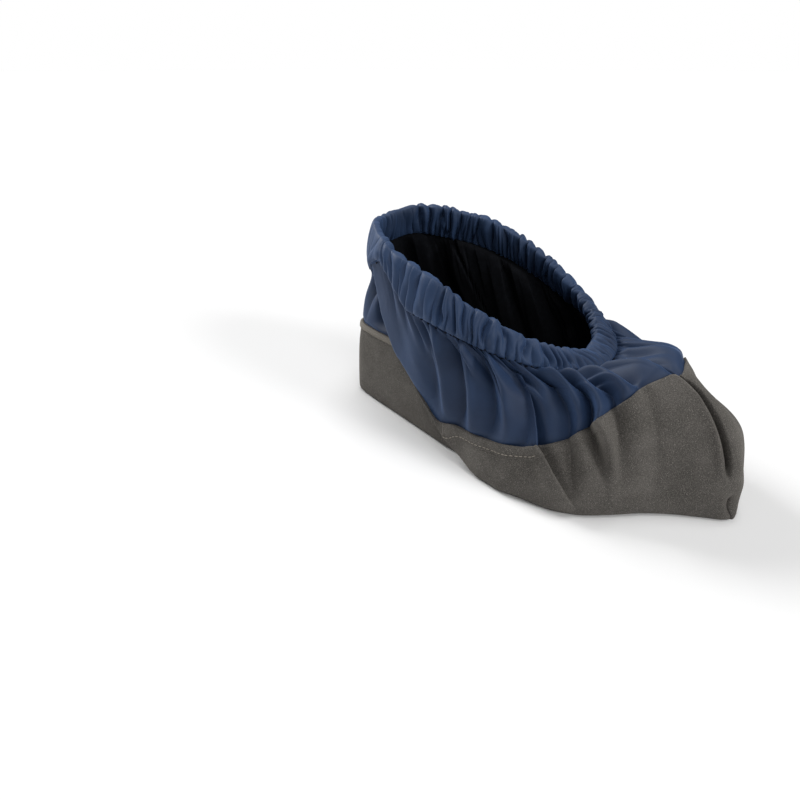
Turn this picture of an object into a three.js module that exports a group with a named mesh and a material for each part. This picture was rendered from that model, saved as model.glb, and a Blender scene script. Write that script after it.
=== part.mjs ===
// A low reusable overshoe, one of a pair, standing empty on its sole.
// A felt-like sole piece wraps up round the heel and high over the toe. A smooth cloth upper is
// tucked inside its top edge and gathered at an elastic casing round the foot opening.
// Millimetres, +X towards the toe, +Z up, origin on the floor under the middle of the box.
import * as THREE from 'three';

// Outer sizes
const LENGTH = 300;
const WIDTH = 144;
const TOE_HEIGHT = 84;

// The foot opening, measured to the top edge of the casing
const OPENING_LENGTH = 180;
const OPENING_WIDTH = 110;
const OPENING_SETBACK = 8;
const HEEL_RIM_HEIGHT = 141;
const SIDE_RIM_HEIGHT = 123;
const FRONT_RIM_HEIGHT = 80;
const FAR_RIM_RISE = 6;

// Walls, bands and clearances
const FELT = 2.2;
const CLOTH = 1.4;
const GAP = 0.3;
const CASING_WIDTH = 21;
const CASING_THICKNESS = 5;
const STITCHED_THICKNESS = 1.6;
const NEAR_CASING_DROP = 8;
const BAND_WIDTH = 9;
const BAND_THICKNESS = 1;
const SOLE_EDGE_RADIUS = 4;

// Gathers and folds
const RUFFLES = 72;
const RUFFLE_DEPTH = 1.1;
const GATHER_DEPTH = 1.3;
const FOLD_DEPTH = 4.5;
const PLEAT_STEP = 8;
const SEAM_DEPTH = 5;
const WELT_HEIGHT = 12;

// The way round the shoe in degrees: 0 at the toe, 180 at the heel, less than 180 on the +Y side.
// Outline of the sole on the floor: x as a share of half the length, y of half the width.
const SOLE_OUTLINE = [
  { way: 0, x: 1.0, y: 0.0 },
  { way: 10, x: 0.9, y: 0.17 },
  { way: 20, x: 0.81, y: 0.3 },
  { way: 30, x: 0.72, y: 0.46 },
  { way: 40, x: 0.63, y: 0.67 },
  { way: 50, x: 0.54, y: 0.85 },
  { way: 60, x: 0.43, y: 0.96 },
  { way: 70, x: 0.3, y: 0.99 },
  { way: 80, x: 0.15, y: 0.93 },
  { way: 95, x: -0.08, y: 0.84 },
  { way: 115, x: -0.34, y: 0.74 },
  { way: 135, x: -0.6, y: 0.64 },
  { way: 155, x: -0.86, y: 0.54 },
  { way: 163, x: -0.965, y: 0.47 },
  { way: 170, x: -1.0, y: 0.31 },
  { way: 180, x: -1.0, y: 0.0 },
];

// Top edge of the felt: x and y as above, z as a share of the toe height.
const FELT_EDGE = [
  { way: 0, x: 0.68, y: 0.0, z: 1.0 },
  { way: 10, x: 0.66, y: 0.17, z: 0.985 },
  { way: 20, x: 0.63, y: 0.36, z: 0.96 },
  { way: 30, x: 0.6, y: 0.5, z: 0.9 },
  { way: 40, x: 0.54, y: 0.63, z: 0.8 },
  { way: 50, x: 0.45, y: 0.77, z: 0.62 },
  { way: 60, x: 0.33, y: 0.87, z: 0.46 },
  { way: 70, x: 0.2, y: 0.91, z: 0.39 },
  { way: 80, x: 0.05, y: 0.87, z: 0.34 },
  { way: 90, x: -0.08, y: 0.81, z: 0.31 },
  { way: 97, x: -0.17, y: 0.78, z: 0.31 },
  { way: 103, x: -0.26, y: 0.76, z: 0.42 },
  { way: 112, x: -0.38, y: 0.72, z: 0.58 },
  { way: 122, x: -0.5, y: 0.67, z: 0.7 },
  { way: 135, x: -0.64, y: 0.62, z: 0.73 },
  { way: 150, x: -0.81, y: 0.56, z: 0.74 },
  { way: 160, x: -0.93, y: 0.5, z: 0.74 },
  { way: 167, x: -0.985, y: 0.38, z: 0.74 },
  { way: 180, x: -1.0, y: 0.0, z: 0.74 },
];

// How the casing stands: from its top edge, out and down to its stitch line, as shares of its width.
const CASING_STANCE = [
  { way: 0, out: 0.72, down: 0.3 },
  { way: 30, out: 0.6, down: 0.5 },
  { way: 60, out: 0.45, down: 0.85 },
  { way: 90, out: 0.32, down: 1.12 },
  { way: 120, out: 0.28, down: 1.15 },
  { way: 150, out: 0.24, down: 1.05 },
  { way: 180, out: 0.2, down: 1.0 },
];

// Main folds: they run from the casing (top) to the floor (foot), each at its own place in degrees.
// Depth is a share of the fold depth, less than 0 for a valley; high and low are how strong the
// fold is in the cloth and in the felt.
const FOLDS = [
  { top: 352, foot: 352, spread: 5, depth: 0.7, high: 1.0, low: 0.0 },
  { top: 343, foot: 338, spread: 6, depth: -1.0, high: 1.0, low: 0.1 },
  { top: 332, foot: 328, spread: 6, depth: 0.8, high: 1.0, low: 0.3 },
  { top: 322, foot: 315, spread: 5, depth: -1.2, high: 1.0, low: 0.7 },
  { top: 312, foot: 309, spread: 5, depth: 0.9, high: 1.0, low: 0.7 },
  { top: 303, foot: 305, spread: 3, depth: -0.9, high: 0.9, low: 0.6 },
  { top: 294, foot: 297, spread: 5, depth: 0.7, high: 1.0, low: 0.3 },
  { top: 285, foot: 290, spread: 4, depth: -0.7, high: 1.0, low: 0.2 },
  { top: 276, foot: 284, spread: 5, depth: 0.6, high: 1.0, low: 0.2 },
  { top: 265, foot: 278, spread: 5, depth: -0.6, high: 1.0, low: 0.1 },
  { top: 230, foot: 235, spread: 6, depth: 0.6, high: 1.0, low: 0.1 },
  { top: 216, foot: 214, spread: 5, depth: -0.8, high: 1.0, low: 0.0 },
  { top: 202, foot: 200, spread: 6, depth: 0.6, high: 1.0, low: 0.0 },
  { top: 188, foot: 187, spread: 6, depth: -0.5, high: 1.0, low: 0.0 },
  { top: 171, foot: 172, spread: 5, depth: 0.6, high: 1.0, low: 0.0 },
  { top: 157, foot: 158, spread: 6, depth: -0.8, high: 1.0, low: 0.0 },
  { top: 141, foot: 139, spread: 7, depth: 0.8, high: 1.0, low: 0.1 },
  { top: 112, foot: 100, spread: 6, depth: -0.8, high: 1.0, low: 0.3 },
  { top: 98, foot: 88, spread: 7, depth: 0.8, high: 1.0, low: 0.2 },
  { top: 84, foot: 77, spread: 5, depth: -0.8, high: 1.0, low: 0.2 },
  { top: 71, foot: 67, spread: 6, depth: 0.7, high: 1.0, low: 0.3 },
  { top: 58, foot: 56, spread: 5, depth: -1.0, high: 1.0, low: 0.6 },
  { top: 46, foot: 47, spread: 6, depth: 0.8, high: 1.0, low: 0.5 },
  { top: 32, foot: 34, spread: 6, depth: -1.0, high: 1.0, low: 0.2 },
  { top: 19, foot: 22, spread: 6, depth: 0.8, high: 1.0, low: 0.1 },
];

// The big tuck on each side, where the full front part steps out over the heel part. Its line
// starts at the floor, follows the felt's edge up and back, and ends at the casing.
const TUCK_LINE = [
  { height: 0.0, way: 83 },
  { height: 0.88, way: 96 },
  { height: 1.1, way: 116 },
  { height: 1.5, way: 124 },
  { height: 2.0, way: 131 },
];
const TUCK_SHARE = { near: 1, far: 0.7 };
const TUCK_RUN = 3.5;
const TUCK_FADE = 30;

const degrees = THREE.MathUtils.degToRad;
const smooth = THREE.MathUtils.smoothstep;
const bell = (x) => Math.exp(-x * x);

// Value of a table's column at a way round, by a smooth curve through its rows. The table runs
// from the toe to the heel; an odd column changes its sign on the other side of the shoe.
function tableAt(rows, column, way, odd = false) {
  const sign = odd ? -1 : 1;
  const last = rows.length - 1;
  const row = (k) => {
    if (k < 0) return { way: -rows[1].way, value: sign * rows[1][column] };
    if (k > last) return { way: 360 - rows[last - 1].way, value: sign * rows[last - 1][column] };
    return { way: rows[k].way, value: rows[k][column] };
  };
  let k = 0;
  while (k < last - 1 && way > rows[k + 1].way) k += 1;
  const [before, from, to, after] = [row(k - 1), row(k), row(k + 1), row(k + 2)];
  const run = to.way - from.way;
  const startSlope = (to.value - before.value) / (to.way - before.way) * run;
  const endSlope = (after.value - from.value) / (after.way - from.way) * run;
  const s = (way - from.way) / run;
  return (2 * s ** 3 - 3 * s ** 2 + 1) * from.value + (s ** 3 - 2 * s ** 2 + s) * startSlope
    + (3 * s ** 2 - 2 * s ** 3) * to.value + (s ** 3 - s ** 2) * endSlope;
}

// Side of the shoe and way from the toe along that side.
function sideOf(way) {
  const turned = ((way % 360) + 360) % 360;
  return turned <= 180 ? { side: 1, fromToe: turned } : { side: -1, fromToe: 360 - turned };
}

function floorPoint(way) {
  const { side, fromToe } = sideOf(way);
  return new THREE.Vector3(
    tableAt(SOLE_OUTLINE, 'x', fromToe) * LENGTH / 2,
    side * tableAt(SOLE_OUTLINE, 'y', fromToe, true) * WIDTH / 2,
    0,
  );
}

function feltEdgePoint(way) {
  const { side, fromToe } = sideOf(way);
  return new THREE.Vector3(
    tableAt(FELT_EDGE, 'x', fromToe) * LENGTH / 2,
    side * tableAt(FELT_EDGE, 'y', fromToe, true) * WIDTH / 2,
    tableAt(FELT_EDGE, 'z', fromToe) * TOE_HEIGHT,
  );
}

// Top edge of the opening: an egg-shaped loop, widest a little before its middle. It stands
// higher along the rear half of its +Y side.
const EGG = 0.1;
function rimPoint(way) {
  const c = Math.cos(degrees(way));
  const s = Math.sin(degrees(way));
  const middle = -LENGTH / 2 + OPENING_SETBACK + OPENING_LENGTH / 2;
  const ends = (HEEL_RIM_HEIGHT + FRONT_RIM_HEIGHT) / 2;
  const level = ends - (HEEL_RIM_HEIGHT - FRONT_RIM_HEIGHT) / 2 * c;
  const farRise = FAR_RIM_RISE * smooth(s, 0, 0.5) * smooth(-c, -0.5, 0.3);
  return new THREE.Vector3(
    middle + OPENING_LENGTH / 2 * c,
    OPENING_WIDTH / 2 * s * (1 + EGG * c),
    level + (SIDE_RIM_HEIGHT - ends) * s * s + farRise,
  );
}

// Level direction straight out from the opening.
function outFromRim(way) {
  const along = rimPoint(way + 0.5).sub(rimPoint(way - 0.5));
  return new THREE.Vector3(along.y, -along.x, 0).normalize();
}

// The casing is deepest on the rear half of its -Y side.
const DROP_PLACE = 125;
const DROP_SPREAD = 32;
function stitchPoint(way) {
  const { side, fromToe } = sideOf(way);
  const out = tableAt(CASING_STANCE, 'out', fromToe) * CASING_WIDTH;
  const down = tableAt(CASING_STANCE, 'down', fromToe) * CASING_WIDTH;
  const drop = side < 0 ? NEAR_CASING_DROP * bell((fromToe - DROP_PLACE) / DROP_SPREAD) : 0;
  const point = rimPoint(way).addScaledVector(outFromRim(way), out);
  point.z -= down + drop;
  return point;
}

const bezier = (a, b, c, d, s) => new THREE.CubicBezierCurve3(a, b, c, d).getPoint(s);

// Handles of the two curves of a section: how far up the wall rises from the floor, how the
// shoulder under the felt's edge reaches out, and how the cloth puffs out under the stitch line.
const WALL_RISE = 0.39;
const WALL_BELLY = 0.03;
const TOE_LEAN = 7;
const TOE_LEAN_REACH = 40;
const SHOULDER_OUT = 0.6;
const SHOULDER_DOWN = 0.16;
const CLOTH_START = 0.6;
const PUFF_OUT = 0.42;
const PUFF_DOWN = 0.22;

// The undisturbed outer skin. Height 0 is the floor, 1 the felt's edge, 2 the stitch line.
function skin(way, height) {
  const foot = floorPoint(way);
  const edge = feltEdgePoint(way);
  const { fromToe } = sideOf(way);
  const lean = TOE_LEAN * (1 - smooth(fromToe, 0, TOE_LEAN_REACH));
  const rise = foot.clone();
  rise.x -= lean;
  rise.y *= 1 + WALL_BELLY;
  rise.z = WALL_RISE * edge.z;
  const shoulder = edge.clone().lerp(foot, SHOULDER_OUT);
  shoulder.z = edge.z * (1 - SHOULDER_DOWN);
  if (height <= 1) return bezier(foot, rise, shoulder, edge, height);
  const stitch = stitchPoint(way);
  const start = edge.clone().addScaledVector(edge.clone().sub(shoulder), CLOTH_START);
  const puff = stitch.clone().lerp(edge, PUFF_OUT);
  puff.z = stitch.z + (edge.z - stitch.z) * PUFF_DOWN;
  return bezier(edge, start, puff, stitch, height - 1);
}

function skinNormal(way, height) {
  const step = 0.02;
  const low = Math.max(0, height - step);
  const high = Math.min(2, height + step);
  const around = skin(way + 1, height).sub(skin(way - 1, height));
  const up = skin(way, high).sub(skin(way, low));
  return around.cross(up).normalize();
}

// Signed difference between two ways round, from -180 to 180 degrees.
const turnBetween = (a, b) => ((a - b + 540) % 360) - 180;

function foldLift(way, height) {
  const share = height / 2;
  const inCloth = smooth(height, 0.7, 1.3) * (1 - smooth(height, 1.7, 2));
  const inFelt = smooth(height, 0.15, 0.8) * (1 - smooth(height, 0.7, 1.3));
  let lift = 0;
  for (const fold of FOLDS) {
    const place = fold.foot + (fold.top - fold.foot) * share;
    const strength = fold.high * inCloth + fold.low * inFelt;
    lift += FOLD_DEPTH * fold.depth * strength * bell(turnBetween(way, place) / fold.spread);
  }
  return lift;
}

function tuckLift(way, height) {
  const { side, fromToe } = sideOf(way);
  const next = TUCK_LINE.findIndex((row) => row.height >= height - 1e-9);
  const [from, to] = [TUCK_LINE[Math.max(0, next - 1)], TUCK_LINE[next]];
  const run = Math.max(to.height - from.height, 1e-9);
  const place = from.way + (to.way - from.way) * (height - from.height) / run;
  const ahead = place - fromToe;
  const strength = (0.35 + 0.65 * smooth(height, 0.1, 0.9)) * (1 - smooth(height, 1.6, 2));
  const fade = ahead > 0 ? Math.exp(-((ahead / TUCK_FADE) ** 2)) : 1;
  const share = side < 0 ? TUCK_SHARE.near : TUCK_SHARE.far;
  return PLEAT_STEP * share * strength * smooth(ahead, -TUCK_RUN / 2, TUCK_RUN / 2) * fade;
}

// The toe seam: a groove down the middle of the toe, with the rounded panel that bulges beside it
// on its +Y side.
const SEAM_SPREAD = 3;
const WELT_PLACE = 14;
const WELT_SPREAD = 11;
function seamLift(way, height) {
  const turn = turnBetween(way, 0);
  const strength = smooth(height, 0.05, 0.25) * (1 - smooth(height, 0.55, 1.15));
  return strength * (WELT_HEIGHT * bell((turn - WELT_PLACE) / WELT_SPREAD)
    - SEAM_DEPTH * bell(turn / SEAM_SPREAD));
}

// Small gathers that run a little way down from the stitch line, one for each ruffle.
function gatherLift(ruffle, height) {
  return GATHER_DEPTH * Math.cos(2 * Math.PI * ruffle) * smooth(height, 1.35, 1.8)
    * (1 - smooth(height, 1.93, 2));
}

// A point of the shoe's wall, so far under its outer face.
function wallPoint(column, height, depth) {
  const { way, ruffle } = column;
  const lift = foldLift(way, height) + tuckLift(way, height) + seamLift(way, height)
    + gatherLift(ruffle, height);
  return skin(way, height).addScaledVector(skinNormal(way, height), lift - depth);
}

// Columns round the shoe, evenly spaced along the opening's edge, two for each ruffle, with
// more of them at the toe seam.
function makeColumns() {
  const steps = 1440;
  const lengths = [0];
  for (let k = 1; k <= steps; k += 1) {
    const chord = rimPoint(k * 360 / steps).distanceTo(rimPoint((k - 1) * 360 / steps));
    lengths.push(lengths[k - 1] + chord);
  }
  const whole = lengths[steps];
  const wayAt = (length) => {
    const k = Math.max(1, lengths.findIndex((value) => value >= length - 1e-9));
    const share = (length - lengths[k - 1]) / (lengths[k] - lengths[k - 1]);
    return (k - 1 + share) * 360 / steps;
  };
  const count = 2 * RUFFLES;
  const columns = [];
  for (let i = 0; i < count; i += 1) {
    columns.push({ way: wayAt(whole * i / count), ruffle: i / 2 });
    const next = wayAt(whole * (i + 1) / count);
    const nearToe = Math.abs(turnBetween(next, 0)) < EXTRA_COLUMNS_WITHIN
      || Math.abs(turnBetween(columns[columns.length - 1].way, 0)) < EXTRA_COLUMNS_WITHIN;
    if (nearToe) columns.push({ way: wayAt(whole * (i + 0.5) / count), ruffle: i / 2 + 0.25 });
  }
  return columns;
}
const EXTRA_COLUMNS_WITHIN = 12;
const COLUMNS = makeColumns();

// A closed body from rows of points, each row with one point for each column. The last row joins
// the first one, unless two middle points cap the first and the last row. Rows that don't run
// all the way round get a flat end on each side.
// Each four-sided face is cut from the higher row to the next column of the lower row, so that
// walls that lie against each other are cut alike.
function rowsToGeometry(rows, { around = true, middles = null } = {}) {
  const count = rows[0].length;
  const positions = rows.flat().flatMap((point) => [point.x, point.y, point.z]);
  const index = [];
  const meanHeight = (row) => row.reduce((sum, point) => sum + point.z, 0) / count;
  const strips = middles ? rows.length - 1 : rows.length;
  for (let j = 0; j < strips; j += 1) {
    const next = (j + 1) % rows.length;
    const downward = meanHeight(rows[j]) >= meanHeight(rows[next]);
    for (let i = 0; i < (around ? count : count - 1); i += 1) {
      const [a, b] = [j * count + i, j * count + (i + 1) % count];
      const [c, d] = [next * count + i, next * count + (i + 1) % count];
      if (downward) index.push(a, c, d, a, d, b);
      else index.push(a, c, b, b, c, d);
    }
  }
  if (middles) {
    const first = positions.length / 3;
    for (const middle of middles) positions.push(middle.x, middle.y, middle.z);
    const lastRow = (rows.length - 1) * count;
    for (let i = 0; i < count; i += 1) {
      const k = (i + 1) % count;
      index.push(first, i, k);
      index.push(first + 1, lastRow + k, lastRow + i);
    }
  }
  if (!around) {
    const end = count - 1;
    for (let j = 1; j < rows.length - 1; j += 1) {
      index.push(0, (j + 1) * count, j * count);
      index.push(end, j * count + end, (j + 1) * count + end);
    }
  }
  const geometry = new THREE.BufferGeometry();
  geometry.setAttribute('position', new THREE.Float32BufferAttribute(positions, 3));
  geometry.setIndex(index);
  geometry.computeVertexNormals();
  return geometry;
}

// Rows of the felt wall: three under the band, the rest as shares of the height left below it.
const FELT_ROWS = [
  () => 1,
  (way) => heightBelowEdge(way, BAND_WIDTH / 2),
  (way) => heightBelowEdge(way, BAND_WIDTH),
  (way) => 0.66 * heightBelowEdge(way, BAND_WIDTH),
  (way) => 0.33 * heightBelowEdge(way, BAND_WIDTH),
];
const CLOTH_ROWS = [1.16, 1.4, 1.64, 1.84, 2];
const SOLE_MIDDLE = -0.05;

// Height share at which the skin is so far below the felt's edge along the wall.
function heightBelowEdge(way, distance) {
  const wall = floorPoint(way).distanceTo(feltEdgePoint(way));
  return 1 - distance / wall;
}

// The felt sole piece: walls, toe and tread in one, a tray open at the top.
function soleShell() {
  const ring = (heightOf, depth) => COLUMNS.map(
    (column) => wallPoint(column, heightOf(column.way), depth),
  );
  const floorRing = (inset, z) => COLUMNS.map(({ way }) => {
    const point = floorPoint(way).addScaledVector(skinNormal(way, 0), tuckLift(way, 0) - inset);
    point.z = z;
    return point;
  });
  const low = SOLE_EDGE_RADIUS;
  const lowHeight = (way) => low / Math.max(feltEdgePoint(way).z * 3 * WALL_RISE, 3 * low);
  const lowRing = (depth) => COLUMNS.map((column) => {
    const point = wallPoint(column, lowHeight(column.way), depth);
    point.z = low;
    return point;
  });
  const outer = [...FELT_ROWS.map((heightOf) => ring(heightOf, 0)), lowRing(0)];
  const inner = [lowRing(FELT), ...FELT_ROWS.map((heightOf) => ring(heightOf, FELT)).reverse()];
  const middle = (z) => new THREE.Vector3(SOLE_MIDDLE * LENGTH, 0, z);
  const rows = [floorRing(low / 2 + FELT, FELT), ...inner, ...outer, floorRing(low / 2, 0)];
  return rowsToGeometry(rows, { middles: [middle(FELT), middle(0)] });
}

// The cloth upper, tucked down inside the felt's edge and easing out over it.
const EASE_OUT_HEIGHT = 0.22;
function upper() {
  const depthAt = (height) => (FELT + GAP) * (1 - smooth(height, 1, 1 + EASE_OUT_HEIGHT));
  const ring = (heightOf, depth) => COLUMNS.map((column) => {
    const height = heightOf(column.way);
    return wallPoint(column, height, depthAt(height) + depth);
  });
  const heights = [
    FELT_ROWS[2],
    FELT_ROWS[1],
    () => 1,
    ...CLOTH_ROWS.map((height) => () => height),
  ];
  const outer = heights.map((heightOf) => ring(heightOf, 0)).reverse();
  const inner = heights.map((heightOf) => ring(heightOf, CLOTH));
  return rowsToGeometry([...outer, ...inner]);
}

// The gathered casing: a flat rolled hem that stands on the stitch line, full of ruffles.
const CASING_SECTION = [
  { rise: 1.0, offset: 0, thickness: 'full', ruffled: 0.5 },
  { rise: 0.85, offset: 0.9, thickness: 'full', ruffled: 1 },
  { rise: 0.35, offset: 1, thickness: 'full', ruffled: 1 },
  { rise: 0.0, offset: 1, thickness: 'stitched', ruffled: 0 },
  { rise: 0.0, offset: -1, thickness: 'stitched', ruffled: 0 },
  { rise: 0.35, offset: -1, thickness: 'full', ruffled: 1 },
  { rise: 0.85, offset: -0.9, thickness: 'full', ruffled: 1 },
];
function elasticCasing() {
  const columns = COLUMNS.filter((column) => Number.isInteger(column.ruffle * 2));
  const rows = CASING_SECTION.map((corner) => columns.map(({ way, ruffle }) => {
    const stitch = stitchPoint(way);
    const rim = rimPoint(way);
    const along = rim.clone().sub(stitch).normalize();
    const around = rimPoint(way + 0.5).sub(rimPoint(way - 0.5)).normalize();
    const out = around.clone().cross(along).normalize();
    const half = (corner.thickness === 'full' ? CASING_THICKNESS : STITCHED_THICKNESS) / 2;
    const wave = Math.cos(2 * Math.PI * ruffle) * RUFFLE_DEPTH * corner.ruffled;
    const side = Math.sign(corner.offset);
    return stitch.lerp(rim, corner.rise)
      .addScaledVector(along, corner.rise === 0 ? GAP + CASING_SEAT : 0)
      .addScaledVector(out, corner.offset * half + side * wave / 2)
      .addScaledVector(along, side === 0 ? wave : 0);
  }));
  return rowsToGeometry(rows);
}
const CASING_SEAT = 0.7;

// The hem band: a strip laid on the outside along the felt's edge. It shows round the heel and
// along the front part of each side; between them it lies hidden under the big tuck.
const HEEL_BAND_FROM = 127;
const SIDE_BAND = { from: 42, to: 97 };
function hemBand(shows) {
  const columns = COLUMNS.filter(({ way }) => shows(sideOf(way)));
  const down = FELT_ROWS.slice(0, 3);
  const row = (heightOf, out) => columns.map(
    (column) => wallPoint(column, heightOf(column.way), -out),
  );
  const outer = down.map((heightOf) => row(heightOf, GAP + BAND_THICKNESS));
  const inner = down.map((heightOf) => row(heightOf, GAP)).reverse();
  return rowsToGeometry([...outer, ...inner], { around: false });
}
const onSide = (wanted) => ({ side, fromToe }) => (
  side === wanted && fromToe > SIDE_BAND.from && fromToe < SIDE_BAND.to
);

const FELT_GREY = new THREE.MeshStandardMaterial({ color: 0x57524d, roughness: 0.95, metalness: 0 });
const BAND_GREY = new THREE.MeshStandardMaterial({ color: 0x6a655e, roughness: 0.9, metalness: 0 });
const CLOTH_BLUE = new THREE.MeshStandardMaterial({ color: 0x2f4468, roughness: 0.7, metalness: 0 });
const CASING_BLUE = new THREE.MeshStandardMaterial({ color: 0x2b3e5f, roughness: 0.7, metalness: 0 });

function pieceMesh(name, geometry, material) {
  const mesh = new THREE.Mesh(geometry, material);
  mesh.name = name;
  return mesh;
}

const overshoe = new THREE.Group();
overshoe.name = 'overshoe';
overshoe.add(pieceMesh('sole_shell', soleShell(), FELT_GREY));
overshoe.add(pieceMesh('heel_band', hemBand(({ fromToe }) => fromToe > HEEL_BAND_FROM), BAND_GREY));
overshoe.add(pieceMesh('side_band_left', hemBand(onSide(1)), BAND_GREY));
overshoe.add(pieceMesh('side_band_right', hemBand(onSide(-1)), BAND_GREY));
overshoe.add(pieceMesh('upper', upper(), CLOTH_BLUE));
overshoe.add(pieceMesh('elastic_casing', elasticCasing(), CASING_BLUE));

// The folds on the two sides differ, so the whole is moved until its box stands over the origin.
const middle = new THREE.Box3().setFromObject(overshoe).getCenter(new THREE.Vector3());
for (const piece of overshoe.children) piece.position.set(-middle.x, -middle.y, 0);

export default overshoe;
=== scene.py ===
import math

import bpy
import numpy as np
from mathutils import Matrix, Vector


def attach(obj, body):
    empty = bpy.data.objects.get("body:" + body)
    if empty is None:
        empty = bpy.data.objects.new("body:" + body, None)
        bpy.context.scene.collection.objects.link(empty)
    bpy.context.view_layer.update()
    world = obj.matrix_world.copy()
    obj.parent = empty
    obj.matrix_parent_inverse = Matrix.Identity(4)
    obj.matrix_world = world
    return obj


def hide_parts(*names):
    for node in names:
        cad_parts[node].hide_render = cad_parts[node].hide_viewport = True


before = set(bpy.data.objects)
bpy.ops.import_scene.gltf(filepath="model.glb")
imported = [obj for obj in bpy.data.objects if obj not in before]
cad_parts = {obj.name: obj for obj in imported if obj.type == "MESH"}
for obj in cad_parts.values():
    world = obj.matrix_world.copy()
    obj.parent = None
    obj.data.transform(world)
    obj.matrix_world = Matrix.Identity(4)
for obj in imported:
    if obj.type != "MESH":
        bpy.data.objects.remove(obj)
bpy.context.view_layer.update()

MM = 0.001

# Sizes of the shoe
LENGTH = 300
WIDTH = 144
TOE_HEIGHT = 84
OPENING_LENGTH = 180
OPENING_WIDTH = 110
OPENING_SETBACK = 8
HEEL_RIM_HEIGHT = 141
SIDE_RIM_HEIGHT = 123
FRONT_RIM_HEIGHT = 80
FAR_RIM_RISE = 6
CASING_WIDTH = 21
CASING_THICKNESS = 8.5
SEAM_THICKNESS = 1.6
NEAR_CASING_DROP = 8
FELT = 2.2
FELT_EDGE_THICKNESS = 1.2
CLOTH = 1.0
# The cloth starts this low inside the felt's edge, and comes out to the wall this high above it,
# as shares of the heights of the felt and of the cloth
CLOTH_FOOT = 0.86
EASE_OUT = 0.16
MARGIN_TOP = 0.99
GAP = 0.3
BAND_WIDTH = 9
HEEL_BAND_THICKNESS = 1.5
SIDE_BAND_THICKNESS = 0.8
# A band lies this far off the wall, its hidden face this far inside it, and its seam this share
# of its width above its lower edge
BAND_CLEAR = 0.1
BAND_SUNK = 0.2
BAND_SEAM = 0.2
BAND_SEAM_DEPTH = 0.6
BAND_SEAM_WIDTH = 0.06
CASING_STITCH_PITCH = 3.4
BAND_STITCH_PITCH = 3.2
SOLE_EDGE_RADIUS = 5
SOLE_EDGE_INSET = 2.4

# The solids' box stands over the origin, and the shoe's own middle lies this far from it
AXIS_PLACE = (1.47, 0.31, 0)
# The tread's rings close in on this place, as a share of the length from the middle
TREAD_MIDDLE = -0.05

# How fine the meshes are
WALL_COLUMNS = 1120
CASING_COLUMNS = 1500
FELT_ROWS = 46
CLOTH_ROWS = 50
CASING_ROWS = 44
BAND_FACE_ROWS = 12
BAND_BACK_ROWS = 6
TREAD_ROWS = 11
# Where columns crowd: the toe's groove and the near side's crease, with how far and how much
CROWDS = ((358, 6, 1.0), (303, 7, 0.6))
CROWD_SHARE = 0.14


def rows(columns, *values):
    """A table with named columns, as one array for each column."""
    return dict(zip(columns.split(), np.array(values, float).T))


# The way round the shoe in degrees: 0 at the toe, 180 at the heel, under 180 on the +Y side.
# Outline of the sole on the floor: x as a share of half the length, y of half the width.
SOLE_OUTLINE = rows(
    "way x y",
    (0, 1.0, 0.0), (10, 0.9, 0.17), (20, 0.81, 0.3), (30, 0.72, 0.46), (40, 0.63, 0.67),
    (50, 0.54, 0.85), (60, 0.43, 0.96), (70, 0.3, 0.99), (80, 0.15, 0.93), (95, -0.08, 0.84),
    (115, -0.34, 0.74), (135, -0.6, 0.64), (155, -0.86, 0.54), (163, -0.965, 0.47),
    (170, -1.0, 0.31), (180, -1.0, 0.0),
)

# Top edge of the felt: x and y as above, z as a share of the toe height.
FELT_EDGE = rows(
    "way x y z",
    (0, 0.68, 0.0, 1.0), (10, 0.65, 0.17, 0.99), (20, 0.615, 0.36, 0.97), (30, 0.59, 0.5, 0.91),
    (40, 0.54, 0.63, 0.8), (50, 0.45, 0.77, 0.62), (60, 0.33, 0.87, 0.46), (70, 0.2, 0.91, 0.39),
    (80, 0.05, 0.87, 0.34), (90, -0.08, 0.81, 0.31), (97, -0.17, 0.78, 0.31),
    (103, -0.26, 0.76, 0.42), (112, -0.38, 0.72, 0.58), (122, -0.5, 0.67, 0.7),
    (135, -0.635, 0.62, 0.73), (150, -0.795, 0.56, 0.74), (160, -0.905, 0.5, 0.74),
    (167, -0.958, 0.38, 0.74), (180, -0.972, 0.0, 0.74),
)

# How the casing stands: from its top edge out and down to its stitch line, as shares of its width.
CASING_STANCE = rows(
    "way out down",
    (0, 0.72, 0.3), (30, 0.6, 0.5), (60, 0.45, 0.85), (90, 0.32, 1.12), (120, 0.28, 1.15),
    (150, 0.24, 1.05), (180, 0.2, 1.0),
)

# Ruffles of the casing all the way round: their pitch and depth in millimetres, and how much of
# them goes on into the cloth below.
RUFFLES = rows(
    "way pitch depth gather",
    (0, 5.5, 2.2, 0.8), (25, 6.0, 2.5, 0.9), (60, 7.0, 2.8, 1.0), (100, 7.5, 3.0, 1.0),
    (140, 7.5, 2.8, 0.8), (158, 8.0, 2.4, 0.4), (165, 9.0, 0.5, 0.1), (172, 8.0, 0.7, 0.1),
    (180, 7.0, 2.6, 0.3), (190, 9.0, 1.8, 0.2), (198, 11.0, 0.7, 0.1), (218, 12.0, 0.5, 0.1),
    (232, 12.0, 0.8, 0.3), (244, 14.0, 1.6, 0.7), (260, 13.0, 2.9, 0.9), (285, 10.5, 3.6, 1.0),
    (305, 8.0, 3.2, 1.1), (325, 6.5, 2.7, 1.1), (345, 5.8, 2.3, 0.9), (360, 5.5, 2.2, 0.8),
)
RUFFLE_SEED = 11
RUFFLE_SCALE = 1.6
# Wide valleys and the fine puckers between them, as shares of the pitch
VALLEY_SPACING = 1.15
PUCKER_SPACING = 0.62
# How far every ripple wanders to and fro along the rim, in millimetres per radian
WANDER_LENGTH = 11

# Near the big tuck the casing's stitch line climbs by this share of the casing's height.
NEAR_LIFT = rows(
    "way share",
    (222, 0), (227, 0.2), (232, 0.42), (237, 0.6), (242, 0.65), (249, 0.5), (256, 0.28), (264, 0.0),
)

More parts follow.
